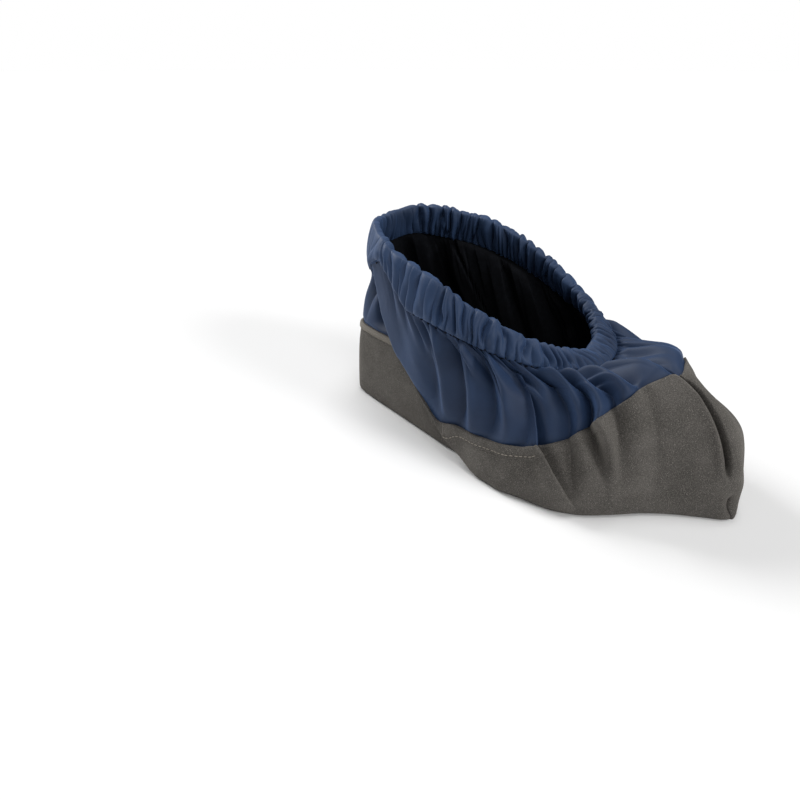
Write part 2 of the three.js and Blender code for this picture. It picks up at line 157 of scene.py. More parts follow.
# Folds of the wall: their place round the shoe at the casing, at the felt's edge and at the floor,
# their half width in degrees at the casing and at the edge, their depth in millimetres (less
# than 0 for a valley) and how strong they are in the cloth and in the felt.
FOLD_SCALE = 1.7
FOLDS = rows(
    "top edge foot spread_top spread_edge depth high low",
    (360, 360, 358, 4, 4, -5.5, 1.0, 0.4),
    (350, 350, 350, 4, 5, 3.8, 1.0, 0.1),
    (347, 337, 332, 3, 4, -4.6, 1.0, 0.3),
    (341, 328, 327, 3, 4, 4.0, 1.0, 0.3),
    (336, 321, 322, 2.5, 3, -4.0, 0.9, 0.7),
    (332, 316, 321, 2.5, 2.2, 3.8, 1.0, 1.1),
    (329, 312.5, 319, 2.0, 2.0, -4.4, 1.0, 1.2),
    (325, 310, 312, 2.2, 2.2, 3.0, 1.0, 0.2),
    (320, 306, 307, 2.5, 3, -5.0, 1.0, 0.8),
    (309, 295, 296, 2.5, 3, -4.2, 1.0, 0.2),
    (303, 289, 292, 2.5, 3, 3.2, 1.0, 0.2),
    (297, 282, 287, 2.5, 3, -4.0, 1.0, 0.1),
    (291, 276, 281, 2.5, 3, 3.0, 1.0, 0.1),
    (285, 269, 275, 2.5, 3, -3.6, 1.0, 0.1),
    (278, 262, 268, 2.5, 3, 2.4, 1.0, 0.0),
    (269, 256, 262, 3, 3, -2.4, 1.0, 0.0),
    (216, 222, 220, 4, 5, -2.4, 0.9, 0.0),
    (207, 213, 212, 3, 4, 1.6, 0.9, 0.0),
    (200, 203, 203, 5, 6, -3.4, 1.0, 0.0),
    (190, 190, 190, 5, 6, 2.0, 1.0, 0.0),
    (178, 177, 178, 4, 5, -2.2, 1.0, 0.0),
    (166, 166, 166, 5, 6, 2.2, 1.0, 0.0),
    (155, 155, 155, 4, 5, -2.4, 1.0, 0.0),
    (143, 140, 139, 5, 6, 2.6, 1.0, 0.1),
    (112, 104, 100, 4, 5, -2.6, 1.0, 0.2),
    (104, 96, 93, 3, 4, 2.2, 1.0, 0.1),
    (95, 86, 84, 4, 4, -2.4, 1.0, 0.2),
    (84, 78, 77, 4, 5, 2.4, 1.0, 0.2),
    (75, 70, 70, 3, 4, -2.8, 1.0, 0.5),
    (66, 62, 63, 4, 4, 2.8, 1.0, 0.4),
    (57, 54, 55, 3, 4, -3.2, 1.0, 0.7),
    (47, 46, 47, 4, 5, 2.8, 1.0, 0.4),
    (36, 36, 38, 3, 4, -3.0, 1.0, 0.4),
    (26, 26, 28, 4, 5, 2.6, 1.0, 0.2),
    (14, 13, 14, 4, 5, 2.6, 1.0, 0.2),
)

# Lines along which one part of the wall rolls over the next. Over is 1 where the side with the
# greater way lies on top and -1 where the other side does. Step is how far the upper layer
# stands out, reach how far it laps over, roll how round its edge is, and fade how soon it
# sinks back to the wall, all in millimetres. Sink is how far the lower layer lies under the
# wall, as a share of the step, and strength the share of all of them at each place. A crease
# fades out past its ends, away from the wall, and over a window of distances on either side.
CREASE_SPOTS = 110
CREASE_END = 12
CREASE_DEPTH = 24
UNDER_WINDOW = (16, 32)
OVER_WINDOW = (50, 80)
NEAR_TUCK = {
    "over": 1, "step": 8.0, "sink": 0.9, "reach": 14.0, "roll": 2.7, "fade": 34.0,
    "line": rows(
        "height way strength",
        (0.0, 281, 0.9), (0.21, 275, 1.0), (0.43, 269, 1.0), (0.58, 264, 1.0), (0.66, 257, 1.0),
        (0.76, 250.5, 1.0), (1.08, 237.5, 1.0), (1.33, 233.5, 1.0), (1.48, 231, 1.0),
        (1.63, 230, 0.9), (1.82, 231, 0.8), (2.0, 232, 0.65),
    ),
}
FAR_TUCK = {
    "over": -1, "step": 7.0, "sink": 0.6, "reach": 8.0, "roll": 3.2, "fade": 34.0,
    "line": rows(
        "height way strength",
        (0.0, 83, 0.35), (0.35, 88, 0.6), (0.88, 96, 1.0), (1.1, 116, 1.0), (1.5, 124, 0.8),
        (1.8, 129, 0.35), (2.0, 131, 0.0),
    ),
}
SIDE_CREASE = {
    "over": -1, "step": 5.5, "sink": 0.5, "reach": 6.0, "roll": 1.4, "fade": 9.0,
    "line": rows(
        "height way strength",
        (0.1, 308, 0.0), (0.25, 305, 0.6), (0.55, 301, 0.9), (0.95, 298, 1.0), (1.3, 301, 0.9),
        (1.6, 305, 0.6), (1.9, 311, 0.0),
    ),
}

# The narrow groove of the toe: how deep and wide it is, how far the near panel's edge and the
# welt on its other side stand out, how wide each of them is, how far the welt's middle lies from
# the groove and how far from it the wall is left alone, in millimetres, and its line as above.
GROOVE_SPOTS = 160
TOE_GROOVE = {
    "depth": 8.0, "width": 1.3, "edge": 1.6, "edge_width": 9, "welt": 2.0, "welt_width": 2.6,
    "welt_place": 4.5, "clear": 14, "end": 3,
    "line": rows(
        "height way strength",
        (0.28, 357, 0.0), (0.38, 357.5, 0.8), (0.5, 358, 1.0), (0.69, 359, 1.0),
        (0.84, 359.5, 0.9), (1.0, 357, 0.8), (1.12, 354, 0.5), (1.3, 351, 0.0),
    ),
}

# The wall's low uneven swells, and how far its plain inside lies behind the tucks and the groove
WALL_SWELLS = (5, 9, 14, 23)
WALL_SWELL = 1.4
BEHIND_TUCKS = 8
BEHIND_GROOVE = 6
GROOVE_WAY = 358
GROOVE_SPREAD = 6

# The casing's top wanders up and down, and its inner face ripples more and a little further on
CASING_SWELLS = (4, 7, 11, 17)
CASING_SWELL = 1.6
INNER_RIPPLE = 1.25
INNER_TURN = 1.5

# Handles of the two curves of a section of the wall
WALL_RISE = 0.39
WALL_BELLY = 0.03
TOE_LEAN = 7
TOE_LEAN_REACH = 40
SHOULDER_OUT = 0.6
SHOULDER_DOWN = 0.16
CLOTH_START = 0.6
PUFF_OUT = 0.42
PUFF_DOWN = 0.22
EGG = 0.1
DROP_PLACE = 125
DROP_SPREAD = 32


def ease(x, low, high):
    t = np.clip((x - low) / (high - low), 0, 1)
    return t * t * (3 - 2 * t)


def bell(x):
    return np.exp(-x * x)


def unit(vectors):
    return vectors / np.maximum(np.linalg.norm(vectors, axis=-1, keepdims=True), 1e-9)


def points(x, y, z):
    return np.stack(np.broadcast_arrays(x, y, z), -1).astype(float)


def turn_between(a, b):
    """Signed difference of two ways round, from -180 to 180 degrees."""
    return np.mod(a - b + 540, 360) - 180


def table_at(table, column, way, odd=False):
    """A column at a way from the toe, on a smooth curve; an odd one changes sign past the ends."""
    sign = -1 if odd else 1
    way_rows, value_rows = table["way"], table[column]
    places = np.concatenate([[-way_rows[1]], way_rows, [360 - way_rows[-2]]])
    values = np.concatenate([[sign * value_rows[1]], value_rows, [sign * value_rows[-2]]])
    last = len(way_rows) - 2
    k = np.clip(np.searchsorted(way_rows, way, side="left") - 1, 0, last) + 1
    run = places[k + 1] - places[k]
    start = (values[k + 1] - values[k - 1]) / (places[k + 1] - places[k - 1]) * run
    end = (values[k + 2] - values[k]) / (places[k + 2] - places[k]) * run
    s = (way - places[k]) / run
    return (
        (2 * s**3 - 3 * s**2 + 1) * values[k]
        + (s**3 - 2 * s**2 + s) * start
        + (3 * s**2 - 2 * s**3) * values[k + 1]
        + (s**3 - s**2) * end
    )


def side_of(way):
    """Side of the shoe, 1 or -1, and the way from the toe along that side."""
    turned = np.mod(way, 360)
    return np.where(turned <= 180, 1.0, -1.0), np.where(turned <= 180, turned, 360 - turned)


def floor_point(way):
    side, from_toe = side_of(way)
    x = table_at(SOLE_OUTLINE, "x", from_toe) * LENGTH / 2
    y = side * table_at(SOLE_OUTLINE, "y", from_toe, odd=True) * WIDTH / 2
    return points(x, y, 0)


def felt_edge_point(way):
    side, from_toe = side_of(way)
    x = table_at(FELT_EDGE, "x", from_toe) * LENGTH / 2
    y = side * table_at(FELT_EDGE, "y", from_toe, odd=True) * WIDTH / 2
    return points(x, y, table_at(FELT_EDGE, "z", from_toe) * TOE_HEIGHT)


def rim_point(way):
    """Top edge of the opening, an egg-shaped loop that stands higher on the far rear half."""
    c, s = np.cos(np.radians(way)), np.sin(np.radians(way))
    middle = -LENGTH / 2 + OPENING_SETBACK + OPENING_LENGTH / 2
    ends = (HEEL_RIM_HEIGHT + FRONT_RIM_HEIGHT) / 2
    level = ends - (HEEL_RIM_HEIGHT - FRONT_RIM_HEIGHT) / 2 * c
    far_rise = FAR_RIM_RISE * ease(s, 0, 0.5) * ease(-c, -0.5, 0.3)
    return points(
        middle + OPENING_LENGTH / 2 * c,
        OPENING_WIDTH / 2 * s * (1 + EGG * c),
        level + (SIDE_RIM_HEIGHT - ends) * s * s + far_rise,
    )


def out_from_rim(way):
    along = rim_point(way + 0.5) - rim_point(way - 0.5)
    return unit(points(along[..., 1], -along[..., 0], 0))


def stitch_point(way):
    side, from_toe = side_of(way)
    out = table_at(CASING_STANCE, "out", from_toe) * CASING_WIDTH
    down = table_at(CASING_STANCE, "down", from_toe) * CASING_WIDTH
    drop = np.where(side < 0, NEAR_CASING_DROP * bell((from_toe - DROP_PLACE) / DROP_SPREAD), 0)
    kept = 1 - np.interp(np.mod(way, 360), NEAR_LIFT["way"], NEAR_LIFT["share"])
    point = rim_point(way) + out_from_rim(way) * (out * kept)[..., None]
    point[..., 2] -= (down + drop) * kept
    return point


def bezier(a, b, c, d, share):
    s = share[..., None]
    return a * (1 - s) ** 3 + 3 * b * s * (1 - s) ** 2 + 3 * c * s**2 * (1 - s) + d * s**3


def skin(way, height):
    """The undisturbed outer skin: height 0 is the floor, 1 the felt's edge, 2 the stitch line."""
    way, height = np.broadcast_arrays(np.asarray(way, float), np.asarray(height, float))
    foot, edge, stitch = floor_point(way), felt_edge_point(way), stitch_point(way)
    from_toe = side_of(way)[1]
    rise = foot.copy()
    rise[..., 0] -= TOE_LEAN * (1 - ease(from_toe, 0, TOE_LEAN_REACH))
    rise[..., 1] *= 1 + WALL_BELLY
    rise[..., 2] = WALL_RISE * edge[..., 2]
    shoulder = edge + (foot - edge) * SHOULDER_OUT
    shoulder[..., 2] = edge[..., 2] * (1 - SHOULDER_DOWN)
    felt = bezier(foot, rise, shoulder, edge, np.clip(height, 0, 1))
    start = edge + (edge - shoulder) * CLOTH_START
    puff = stitch + (edge - stitch) * PUFF_OUT
    puff[..., 2] = stitch[..., 2] + (edge[..., 2] - stitch[..., 2]) * PUFF_DOWN
    cloth = bezier(edge, start, puff, stitch, np.clip(height - 1, 0, 1))
    return np.where((height <= 1)[..., None], felt, cloth)


def skin_normal(way, height):
    step = 0.02
    around = skin(way + 1, height) - skin(way - 1, height)
    up = skin(way, np.minimum(height + step, 2)) - skin(way, np.maximum(height - step, 0))
    return unit(np.cross(around, up))


class Ruffles:
    """Ridges round the casing, each with its own width, depth and slant."""

    def __init__(self):
        self.ways = np.linspace(0, 360, 1441)
        rim = rim_point(self.ways)
        steps = np.linalg.norm(np.diff(rim, axis=0), axis=-1)
        self.lengths = np.concatenate([[0], np.cumsum(steps)])
        self.whole = self.lengths[-1]
        random = np.random.default_rng(RUFFLE_SEED)
        self.valleys = self.spaced(random, VALLEY_SPACING)
        self.puckers = self.spaced(random, PUCKER_SPACING)
        count = len(self.puckers)
        self.depths = random.uniform(0.55, 1.35, count)
        self.leans = random.uniform(0.55, 1.8, count)
        count = len(self.valleys)
        self.slants = random.uniform(-4.0, 9.0, count)
        self.slants[-1] = self.slants[0]
        self.creases = random.uniform(0, 2 * math.pi, count)

    def spaced(self, random, scale):
        """Places of the valleys along the rim, unevenly spaced about the pitch of the table."""
        places = [0.0]
        while places[-1] < self.whole:
            way = np.interp(places[-1], self.lengths, self.ways)
            pitch = scale * np.interp(way, RUFFLES["way"], RUFFLES["pitch"])
            places.append(places[-1] + pitch * random.uniform(0.6, 1.5))
        return np.array(places) * self.whole / places[-1]

    def length_at(self, way):
        return np.interp(np.mod(way, 360), self.ways, self.lengths)

    def wave(self, length, valleys, sharp=0.55):
        """Rounded ridges with sharp valleys between them, from -0.7 to 0.3."""
        length = np.mod(length, self.whole)
        k = np.clip(np.searchsorted(valleys, length, side="right") - 1, 0, len(valleys) - 2)
        share = (length - valleys[k]) / (valleys[k + 1] - valleys[k])
        share = np.clip(share, 0, 1) ** self.leans[k]
        ridge = np.abs(np.sin(math.pi * share)) ** sharp
        return (ridge - 0.7) * self.depths[k]

    def lift(self, way, rise):
        """How far the casing's face stands out; rise is 0 at the stitch line and 1 at the top."""
        length = self.length_at(way)
        slant = np.interp(length, self.valleys, self.slants)
        depth = np.interp(np.mod(way, 360), RUFFLES["way"], RUFFLES["depth"])
        phase = np.interp(length, self.valleys, self.creases)
        bend = 2.2 * np.sin(2.6 * rise + length / WANDER_LENGTH) + np.sin(6 * rise + phase)
        start = 0.1 + 0.45 * (0.5 + 0.5 * np.sin(phase))
        high = self.wave(length + slant * (rise - 0.9) + bend, self.valleys)
        low = self.wave(length + 0.5 * slant * rise + 0.6 * bend, self.puckers)
        shape = high * (0.25 + 0.85 * ease(rise, start - 0.15, start + 0.25))
        shape = shape * (1 - 0.25 * ease(rise, 0.7, 1.0))
        shape = shape + 0.62 * low * (1 - 0.75 * ease(rise, 0.2, 0.75))
        return RUFFLE_SCALE * depth * shape

    def gather(self, way, below):
        """How far the cloth stands out, so many millimetres below the stitch line."""
        length = self.length_at(way)
        slant = np.interp(length, self.valleys, self.slants)
        depth = np.interp(np.mod(way, 360), RUFFLES["way"], RUFFLES["depth"])
        share = 1.2 * np.interp(np.mod(way, 360), RUFFLES["way"], RUFFLES["gather"])
        bend = 1.3 * np.sin(length / WANDER_LENGTH)
        close = self.wave(length + bend, self.puckers)
        wide = self.wave(length - 0.1 * slant + bend, self.valleys, 1.1)
        pucker = 0.6 + 0.4 * ease(below, 0, 2.5)
        near = close * pucker * (1 - ease(below, 2, 13))
        later = wide * ease(below, 3, 12) * (1 - ease(below, 20, 46))
        return RUFFLE_SCALE * depth * share * (0.55 * near + 0.6 * later)


ruffles = Ruffles()


def fold_lift(way, height):
    in_cloth = ease(height, 0.94, 1.45) * (1 - ease(height, 1.8, 2.0))
    in_felt = ease(height, 0.1, 0.75) * (1 - ease(height, 1.0, 1.45))
    lift = np.zeros(np.broadcast(way, height).shape)
    for k in range(len(FOLDS["top"])):
        fold = {name: column[k] for name, column in FOLDS.items()}
        top, edge, foot = fold["top"], fold["edge"], fold["foot"]
        place = np.where(
            height > 1,
            edge + (top - edge) * np.clip(height - 1, 0, 1),
            foot + (edge - foot) * np.clip(height, 0, 1),
        )
        spread = fold["spread_edge"] + (fold["spread_top"] - fold["spread_edge"]) * ease(height, 1, 2)
        strength = fold["high"] * in_cloth + fold["low"] * in_felt
        across = np.abs(turn_between(way, place) / spread)
        shape = bell(across) if fold["depth"] > 0 else np.exp(-across**1.4)
        lift += FOLD_SCALE * fold["depth"] * strength * shape
    return lift


# The toe: a rounded welt beside the groove, a soft valley past it and the far panel's bulge.
WELT = {"place": 5.5, "spread": 3.6, "height": 3.0, "low": (0.25, 0.5), "high": (0.62, 0.9)}
WELT_VALLEY = {"place": 11.5, "spread": 3, "height": -2.2, "low": (0.3, 0.5), "high": (0.7, 1.0)}
FAR_PANEL = {"place": 16, "spread": 12.5, "height": 21.0, "low": (-0.15, 0.2), "high": (0.36, 0.82)}
TIP_HOLLOW = {"way": 359.5, "spread": 3.2, "height": 0.1, "tall": 0.08, "depth": 9.0}
HEEL_DENTS = rows(
    "way height depth spread tall",
    (207, 1.6, 7.0, 16, 0.13), (218, 1.36, 9.0, 9, 0.2), (203, 1.25, -1.8, 12, 0.2),
    (216, 1.08, -2.0, 9, 0.08),
)


def toe_lift(way, height):
    lift = np.zeros(np.broadcast(way, height).shape)
    for form in (WELT, WELT_VALLEY, FAR_PANEL):
        strength = ease(height, *form["low"]) * (1 - ease(height, *form["high"]))
        lift += strength * form["height"] * bell(turn_between(way, form["place"]) / form["spread"])
    hollow = bell(turn_between(way, TIP_HOLLOW["way"]) / TIP_HOLLOW["spread"])
    hollow = hollow * bell((height - TIP_HOLLOW["height"]) / TIP_HOLLOW["tall"])
    return lift - TIP_HOLLOW["depth"] * hollow


def heel_dents(way, height):
    """The heel's cloth sinks in under the casing and beside the tuck, and bulges over the hem."""
    lift = np.zeros(np.broadcast(way, height).shape)
    for place, level, depth, spread, tall in zip(*HEEL_DENTS.values()):
        lift -= depth * bell(turn_between(way, place) / spread) * bell((height - level) / tall)
    return lift


def soft_noise(way, height, seed, waves, amount):
    """Low uneven swells, closed round the shoe."""
    random = np.random.default_rng(seed)
    swell = np.zeros(np.broadcast(way, height).shape)
    for wave in waves:
        turn, rise = random.uniform(0, 2 * math.pi, 2)
        swell += np.sin(np.radians(way) * wave + turn) * np.sin(height * random.uniform(2, 6) + rise)
    return amount * swell / len(waves)


def roll_over(places, crease):
    """Moves the wall's points near a line so that one side rolls over the other."""
    line = crease["line"]
    heights = np.linspace(line["height"][0], line["height"][-1], CREASE_SPOTS)
    ways = np.interp(heights, line["height"], line["way"])
    strengths = np.interp(heights, line["height"], line["strength"])
    spine = skin(ways, heights)
    along = unit(np.gradient(spine, axis=0))
    out = skin_normal(ways, heights)
    onward = unit(np.cross(along, out)) * crease["over"]
    shape = places.shape
    flat = places.reshape(-1, 3).copy()
    reach = 3 * crease["fade"]
    near = np.all((flat > spine.min(0) - reach) & (flat < spine.max(0) + reach), axis=1)
    spots = flat[near]
    gaps = ((spots[:, None, :] - spine[None, :, :]) ** 2).sum(-1)
    k = gaps.argmin(1)
    offset = spots - spine[k]
    distance = (offset * onward[k]).sum(1)
    past_end = np.abs((offset * along[k]).sum(1))
    depth = (offset * out[k]).sum(1)
    apart = np.sqrt(gaps.min(1))
    window = 1 - np.where(distance < 0, ease(apart, *UNDER_WINDOW), ease(apart, *OVER_WINDOW))
    strength = strengths[k] * bell(past_end / CREASE_END) * bell(depth / CREASE_DEPTH) * window
    roll = crease["roll"]
    fade = np.where(distance > 0, bell(distance / crease["fade"]), 1)
    raised = ease(distance, -roll, roll) * fade
    raised = raised - crease["sink"] * (1 - ease(distance, 0, roll)) * bell(distance / (4 * roll))
    slide = -crease["reach"] * (distance / roll) * bell(distance / roll / 1.25)
    spots = spots + out[k] * (crease["step"] * strength * raised)[:, None]
    flat[near] = spots + onward[k] * (slide * strength)[:, None]
    return flat.reshape(shape)


def cut_groove(grid):
    """Sinks a narrow groove into the toe, which the near panel's edge stands beside."""
    line = TOE_GROOVE["line"]
    heights = np.linspace(line["height"][0], line["height"][-1], GROOVE_SPOTS)
    ways = np.interp(heights, line["height"], line["way"])
    strengths = np.interp(heights, line["height"], line["strength"])
    spine = skin(ways, heights)
    out = skin_normal(ways, heights)
    onward = unit(np.cross(np.gradient(spine, axis=0), out))
    flat = grid.reshape(-1, 3).copy()
    clear = TOE_GROOVE["clear"]
    near = np.all((flat > spine.min(0) - clear) & (flat < spine.max(0) + clear), axis=1)
    spots = flat[near]
    offset = spots[:, None, :] - spine[None, :, :]
    across = np.einsum("ijk,jk->ij", offset, onward)
    apart = (offset**2).sum(-1) - np.einsum("ijk,jk->ij", offset, out) ** 2
    k = apart.argmin(1)
    pick = np.arange(len(spots))
    distance = across[pick, k]
    past_end = np.sqrt(np.maximum(apart[pick, k] - distance**2, 0))
    strength = strengths[k] * bell(past_end / TOE_GROOVE["end"])
    lift = TOE_GROOVE["edge"] * np.where(distance > 0, bell(distance / TOE_GROOVE["edge_width"]), 0)
    lift = lift * ease(distance, 0, 1.2)
    lift += TOE_GROOVE["welt"] * bell((distance + TOE_GROOVE["welt_place"]) / TOE_GROOVE["welt_width"])
    lift -= TOE_GROOVE["depth"] * np.exp(-np.abs(distance / TOE_GROOVE["width"]) ** 3)
    flat[near] = spots + out[k] * (lift * strength)[:, None]
    return flat.reshape(grid.shape)


def lowest_nearby(lift):
    """The lowest lift within a few rows and columns of each place."""
    low = lift
    for step in (1, 2, 4):
        low = np.minimum(low, np.minimum(np.roll(low, step, axis=1), np.roll(low, -step, axis=1)))
    for step in (1, 2):
        up = np.concatenate([low[step:], np.repeat(low[-1:], step, axis=0)])
        down = np.concatenate([np.repeat(low[:1], step, axis=0), low[:-step]])
        low = np.minimum(low, np.minimum(up, down))
    return low


def even_columns(count):
    """Ways round, evenly spaced half by the opening's edge and half by the sole's."""
    ways = np.linspace(0, 360, 2881)
    shares = 0
    for loop in (rim_point(ways), floor_point(ways)):
        steps = np.linalg.norm(np.diff(loop, axis=0), axis=-1)
        lengths = np.concatenate([[0], np.cumsum(steps)])
        shares = shares + lengths / lengths[-1] / 2
    crowd = np.cumsum(sum(much * bell(turn_between(ways, way) / far) for way, far, much in CROWDS))
    shares = (1 - CROWD_SHARE) * shares + CROWD_SHARE * (crowd - crowd[0]) / (crowd[-1] - crowd[0])
    return np.interp(np.arange(count) / count, shares, ways)


def grid_normals(grid):
    around = np.roll(grid, -1, axis=1) - np.roll(grid, 1, axis=1)
    return unit(np.cross(around, np.gradient(grid, axis=0)))


def wall_grid():
    """The outer face of the whole wall, folds and all, with its normals, height by height."""
    ways = even_columns(WALL_COLUMNS)
    felt = np.linspace(0, 1, FELT_ROWS)
    cloth = 1 + np.linspace(0, 1, CLOTH_ROWS)[1:]
    heights = np.concatenate([felt, cloth])
    way, height = np.meshgrid(ways, heights)
    base = skin(way, height)
    upward = np.linalg.norm(np.diff(base, axis=0), axis=-1)
    below_stitch = np.concatenate([np.cumsum(upward[::-1], axis=0)[::-1], np.zeros((1, len(ways)))])
    in_cloth = ease(height, 1.0, 1.12)
    lift = fold_lift(way, height) + toe_lift(way, height) + heel_dents(way, height)
    lift += ruffles.gather(way, below_stitch) * in_cloth
    swell = soft_noise(way, height, 3, WALL_SWELLS, WALL_SWELL)
    lift += swell * ease(height, 0.2, 0.8) * (1 - ease(height, 1.7, 2))
    normal = skin_normal(way, height)
    grid = base + normal * lift[..., None]
    plain = base + normal * lowest_nearby(lift)[..., None]
    smooth = grid
    for crease in (FAR_TUCK, NEAR_TUCK, SIDE_CREASE):
        grid = roll_over(grid, crease)
    moved = np.linalg.norm(grid - smooth, axis=-1)
    grid = cut_groove(grid)
    level = unit(normal * np.array([1, 1, 0]))
    low = np.clip((SOLE_EDGE_RADIUS - grid[..., 2]) / SOLE_EDGE_RADIUS, 0, 1)
    inset = SOLE_EDGE_INSET * (1 - np.sqrt(1 - low**2))
    grid = grid - level * inset[..., None]
    grid[..., 2] = np.where(height <= 0, 0, np.maximum(grid[..., 2], 0))
    deeper = BEHIND_TUCKS * ease(moved, 0.1, 1.5)
    deeper = deeper + BEHIND_GROOVE * bell(turn_between(way, GROOVE_WAY) / GROOVE_SPREAD)
    inner = plain - level * inset[..., None] - grid_normals(base) * deeper[..., None]
    return ways, heights, grid, grid_normals(grid), inner, grid_normals(base)


def at_heights(heights, grid, wanted):
    """The grid's points at a height of its own for each column."""
    k = np.clip(np.searchsorted(heights, wanted, side="right") - 1, 0, len(heights) - 2)
    share = (wanted - heights[k]) / (heights[k + 1] - heights[k])
    columns = np.arange(grid.shape[1])
    return grid[k, columns] * (1 - share)[:, None] + grid[k + 1, columns] * share[:, None]


def make_piece(name, verts, faces, uvs=None, dark=None):
    """A smooth mesh object at the origin, with its place in its mesh."""
    mesh = bpy.data.meshes.new(name)
    placed = (np.asarray(verts) + np.array(AXIS_PLACE)) * MM
    mesh.from_pydata(placed.tolist(), [], [list(map(int, face)) for face in faces])
    if uvs is not None:
        layer = mesh.uv_layers.new(name="cloth")
        corners = np.empty(len(mesh.loops), dtype=np.int32)
        mesh.loops.foreach_get("vertex_index", corners)
        layer.data.foreach_set("uv", (np.asarray(uvs)[corners] * MM).ravel())
    mesh.polygons.foreach_set("use_smooth", [True] * len(mesh.polygons))
    if dark is not None:
        mesh.polygons.foreach_set("material_index", np.asarray(dark, dtype=np.int32))
    mesh.update()
    piece = bpy.data.objects.new(name, mesh)
    bpy.context.scene.collection.objects.link(piece)
    return piece


def ring_faces(rings, count, closed=True):
    """Faces of a shell whose last ring joins the first one, if closed."""
    i = np.arange(count)
    after = (i + 1) % count
    faces = []
    for j in range(rings if closed else rings - 1):
        k = (j + 1) % rings
        faces.append(np.stack([j * count + i, k * count + i, k * count + after, j * count + after], 1))
    return np.concatenate(faces)


def cloth_uvs(rings):
    """Lengths along and across the cloth in millimetres, mirrored halfway round so they close."""
    stack = np.array(rings)
    middle = stack[len(stack) // 4]
    steps = np.linalg.norm(np.roll(middle, -1, axis=0) - middle, axis=-1)
    along = np.concatenate([[0], np.cumsum(steps)[:-1]])
    along = np.minimum(along, steps.sum() - along)
    up = np.zeros(stack.shape[:2])
    up[1:] = np.cumsum(np.linalg.norm(np.diff(stack, axis=0), axis=-1), axis=0)
    return np.stack([np.broadcast_to(along, up.shape), up], -1).reshape(-1, 2)


ways, heights, outer_wall, wall_normals, back_wall, back_normals = wall_grid()


def felt_thickness(height):
    return FELT - (FELT - FELT_EDGE_THICKNESS) * ease(height, 0.85, 1.0)


def felt_sole():
    """Walls, toe and tread in one, a tray open at the top."""
    used = heights <= 1
    outer = outer_wall[used][::-1]
    inner_rows = np.flatnonzero(used)[::-3][::-1]
    depth = felt_thickness(heights[inner_rows])[:, None, None]
    inner = back_wall[inner_rows] - back_normals[inner_rows] * depth
    inner[..., 2] = np.maximum(inner[..., 2], FELT)
    middle = np.array([TREAD_MIDDLE * LENGTH, 0, 0])
    lifted = middle + [0, 0, FELT]
    shares = np.linspace(1, 0, TREAD_ROWS)[1:-1]
    foot = outer[-1]
    inside_foot = inner[0]
    tread = [middle + (foot - middle) * np.array([s, s, 1]) for s in shares]
    floor = [lifted + (inside_foot - lifted) * [s, s, 1] for s in shares[::-1]]
    edge_top = outer[0] - wall_normals[used][-1] * FELT_EDGE_THICKNESS / 2
    edge_top[..., 2] += FELT_EDGE_THICKNESS / 3
    rings = floor + list(inner) + [edge_top] + list(outer) + tread
    count = len(ways)
    faces = ring_faces(len(rings), count, closed=False)
    verts = np.concatenate([np.concatenate(rings), [lifted], [middle]])
    first, last = len(rings) * count, len(rings) * count + 1
    i = np.arange(count)
    after = (i + 1) % count
    start = (len(rings) - 1) * count
    caps = np.concatenate([
        np.stack([np.full(count, first), i, after], 1),
        np.stack([np.full(count, last), start + after, start + i], 1),
    ])
    # The tray's inside faces get the near-black finish, which paints the deep shade inside the shoe as
    # well as its dark inside.
    dark_rings = len(floor) + len(inner)
    dark = np.concatenate([
        np.repeat(np.arange(len(rings) - 1) < dark_rings - 1, count),
        np.repeat([True, False], count),
    ])
    return make_piece("felt_sole", verts, [*faces.tolist(), *caps.tolist()], None, dark)


def cloth_upper():
    """The cloth body, tucked down inside the felt's edge and easing out over it."""
    used = np.flatnonzero(heights >= CLOTH_FOOT)
    high = heights[used]
    hidden = (felt_thickness(high) + GAP) * (1 - ease(high, 0.985, 1 + EASE_OUT))
    outer = outer_wall[used] - back_normals[used] * hidden[:, None, None]
    inner = back_wall[used] - back_normals[used] * (hidden + CLOTH)[:, None, None]
    inner[-1] = outer[-1] - back_normals[used][-1] * CLOTH / 2
    rings = list(outer[::-1]) + list(inner[::-3][::-1])
    ring = np.arange(len(rings))
    # The margin below the felt's edge is meant to stay hidden, so it has the inside's near-black
    # finish, painted shadow where it shows at the felt's edge; the inside faces have it too
    margin = np.count_nonzero(high >= MARGIN_TOP)
    dark = np.repeat((ring >= margin) & (ring < len(rings) - 1), len(ways))
    return make_piece("cloth_upper", np.concatenate(rings), ring_faces(len(rings), len(ways)),
                      cloth_uvs(rings), dark)


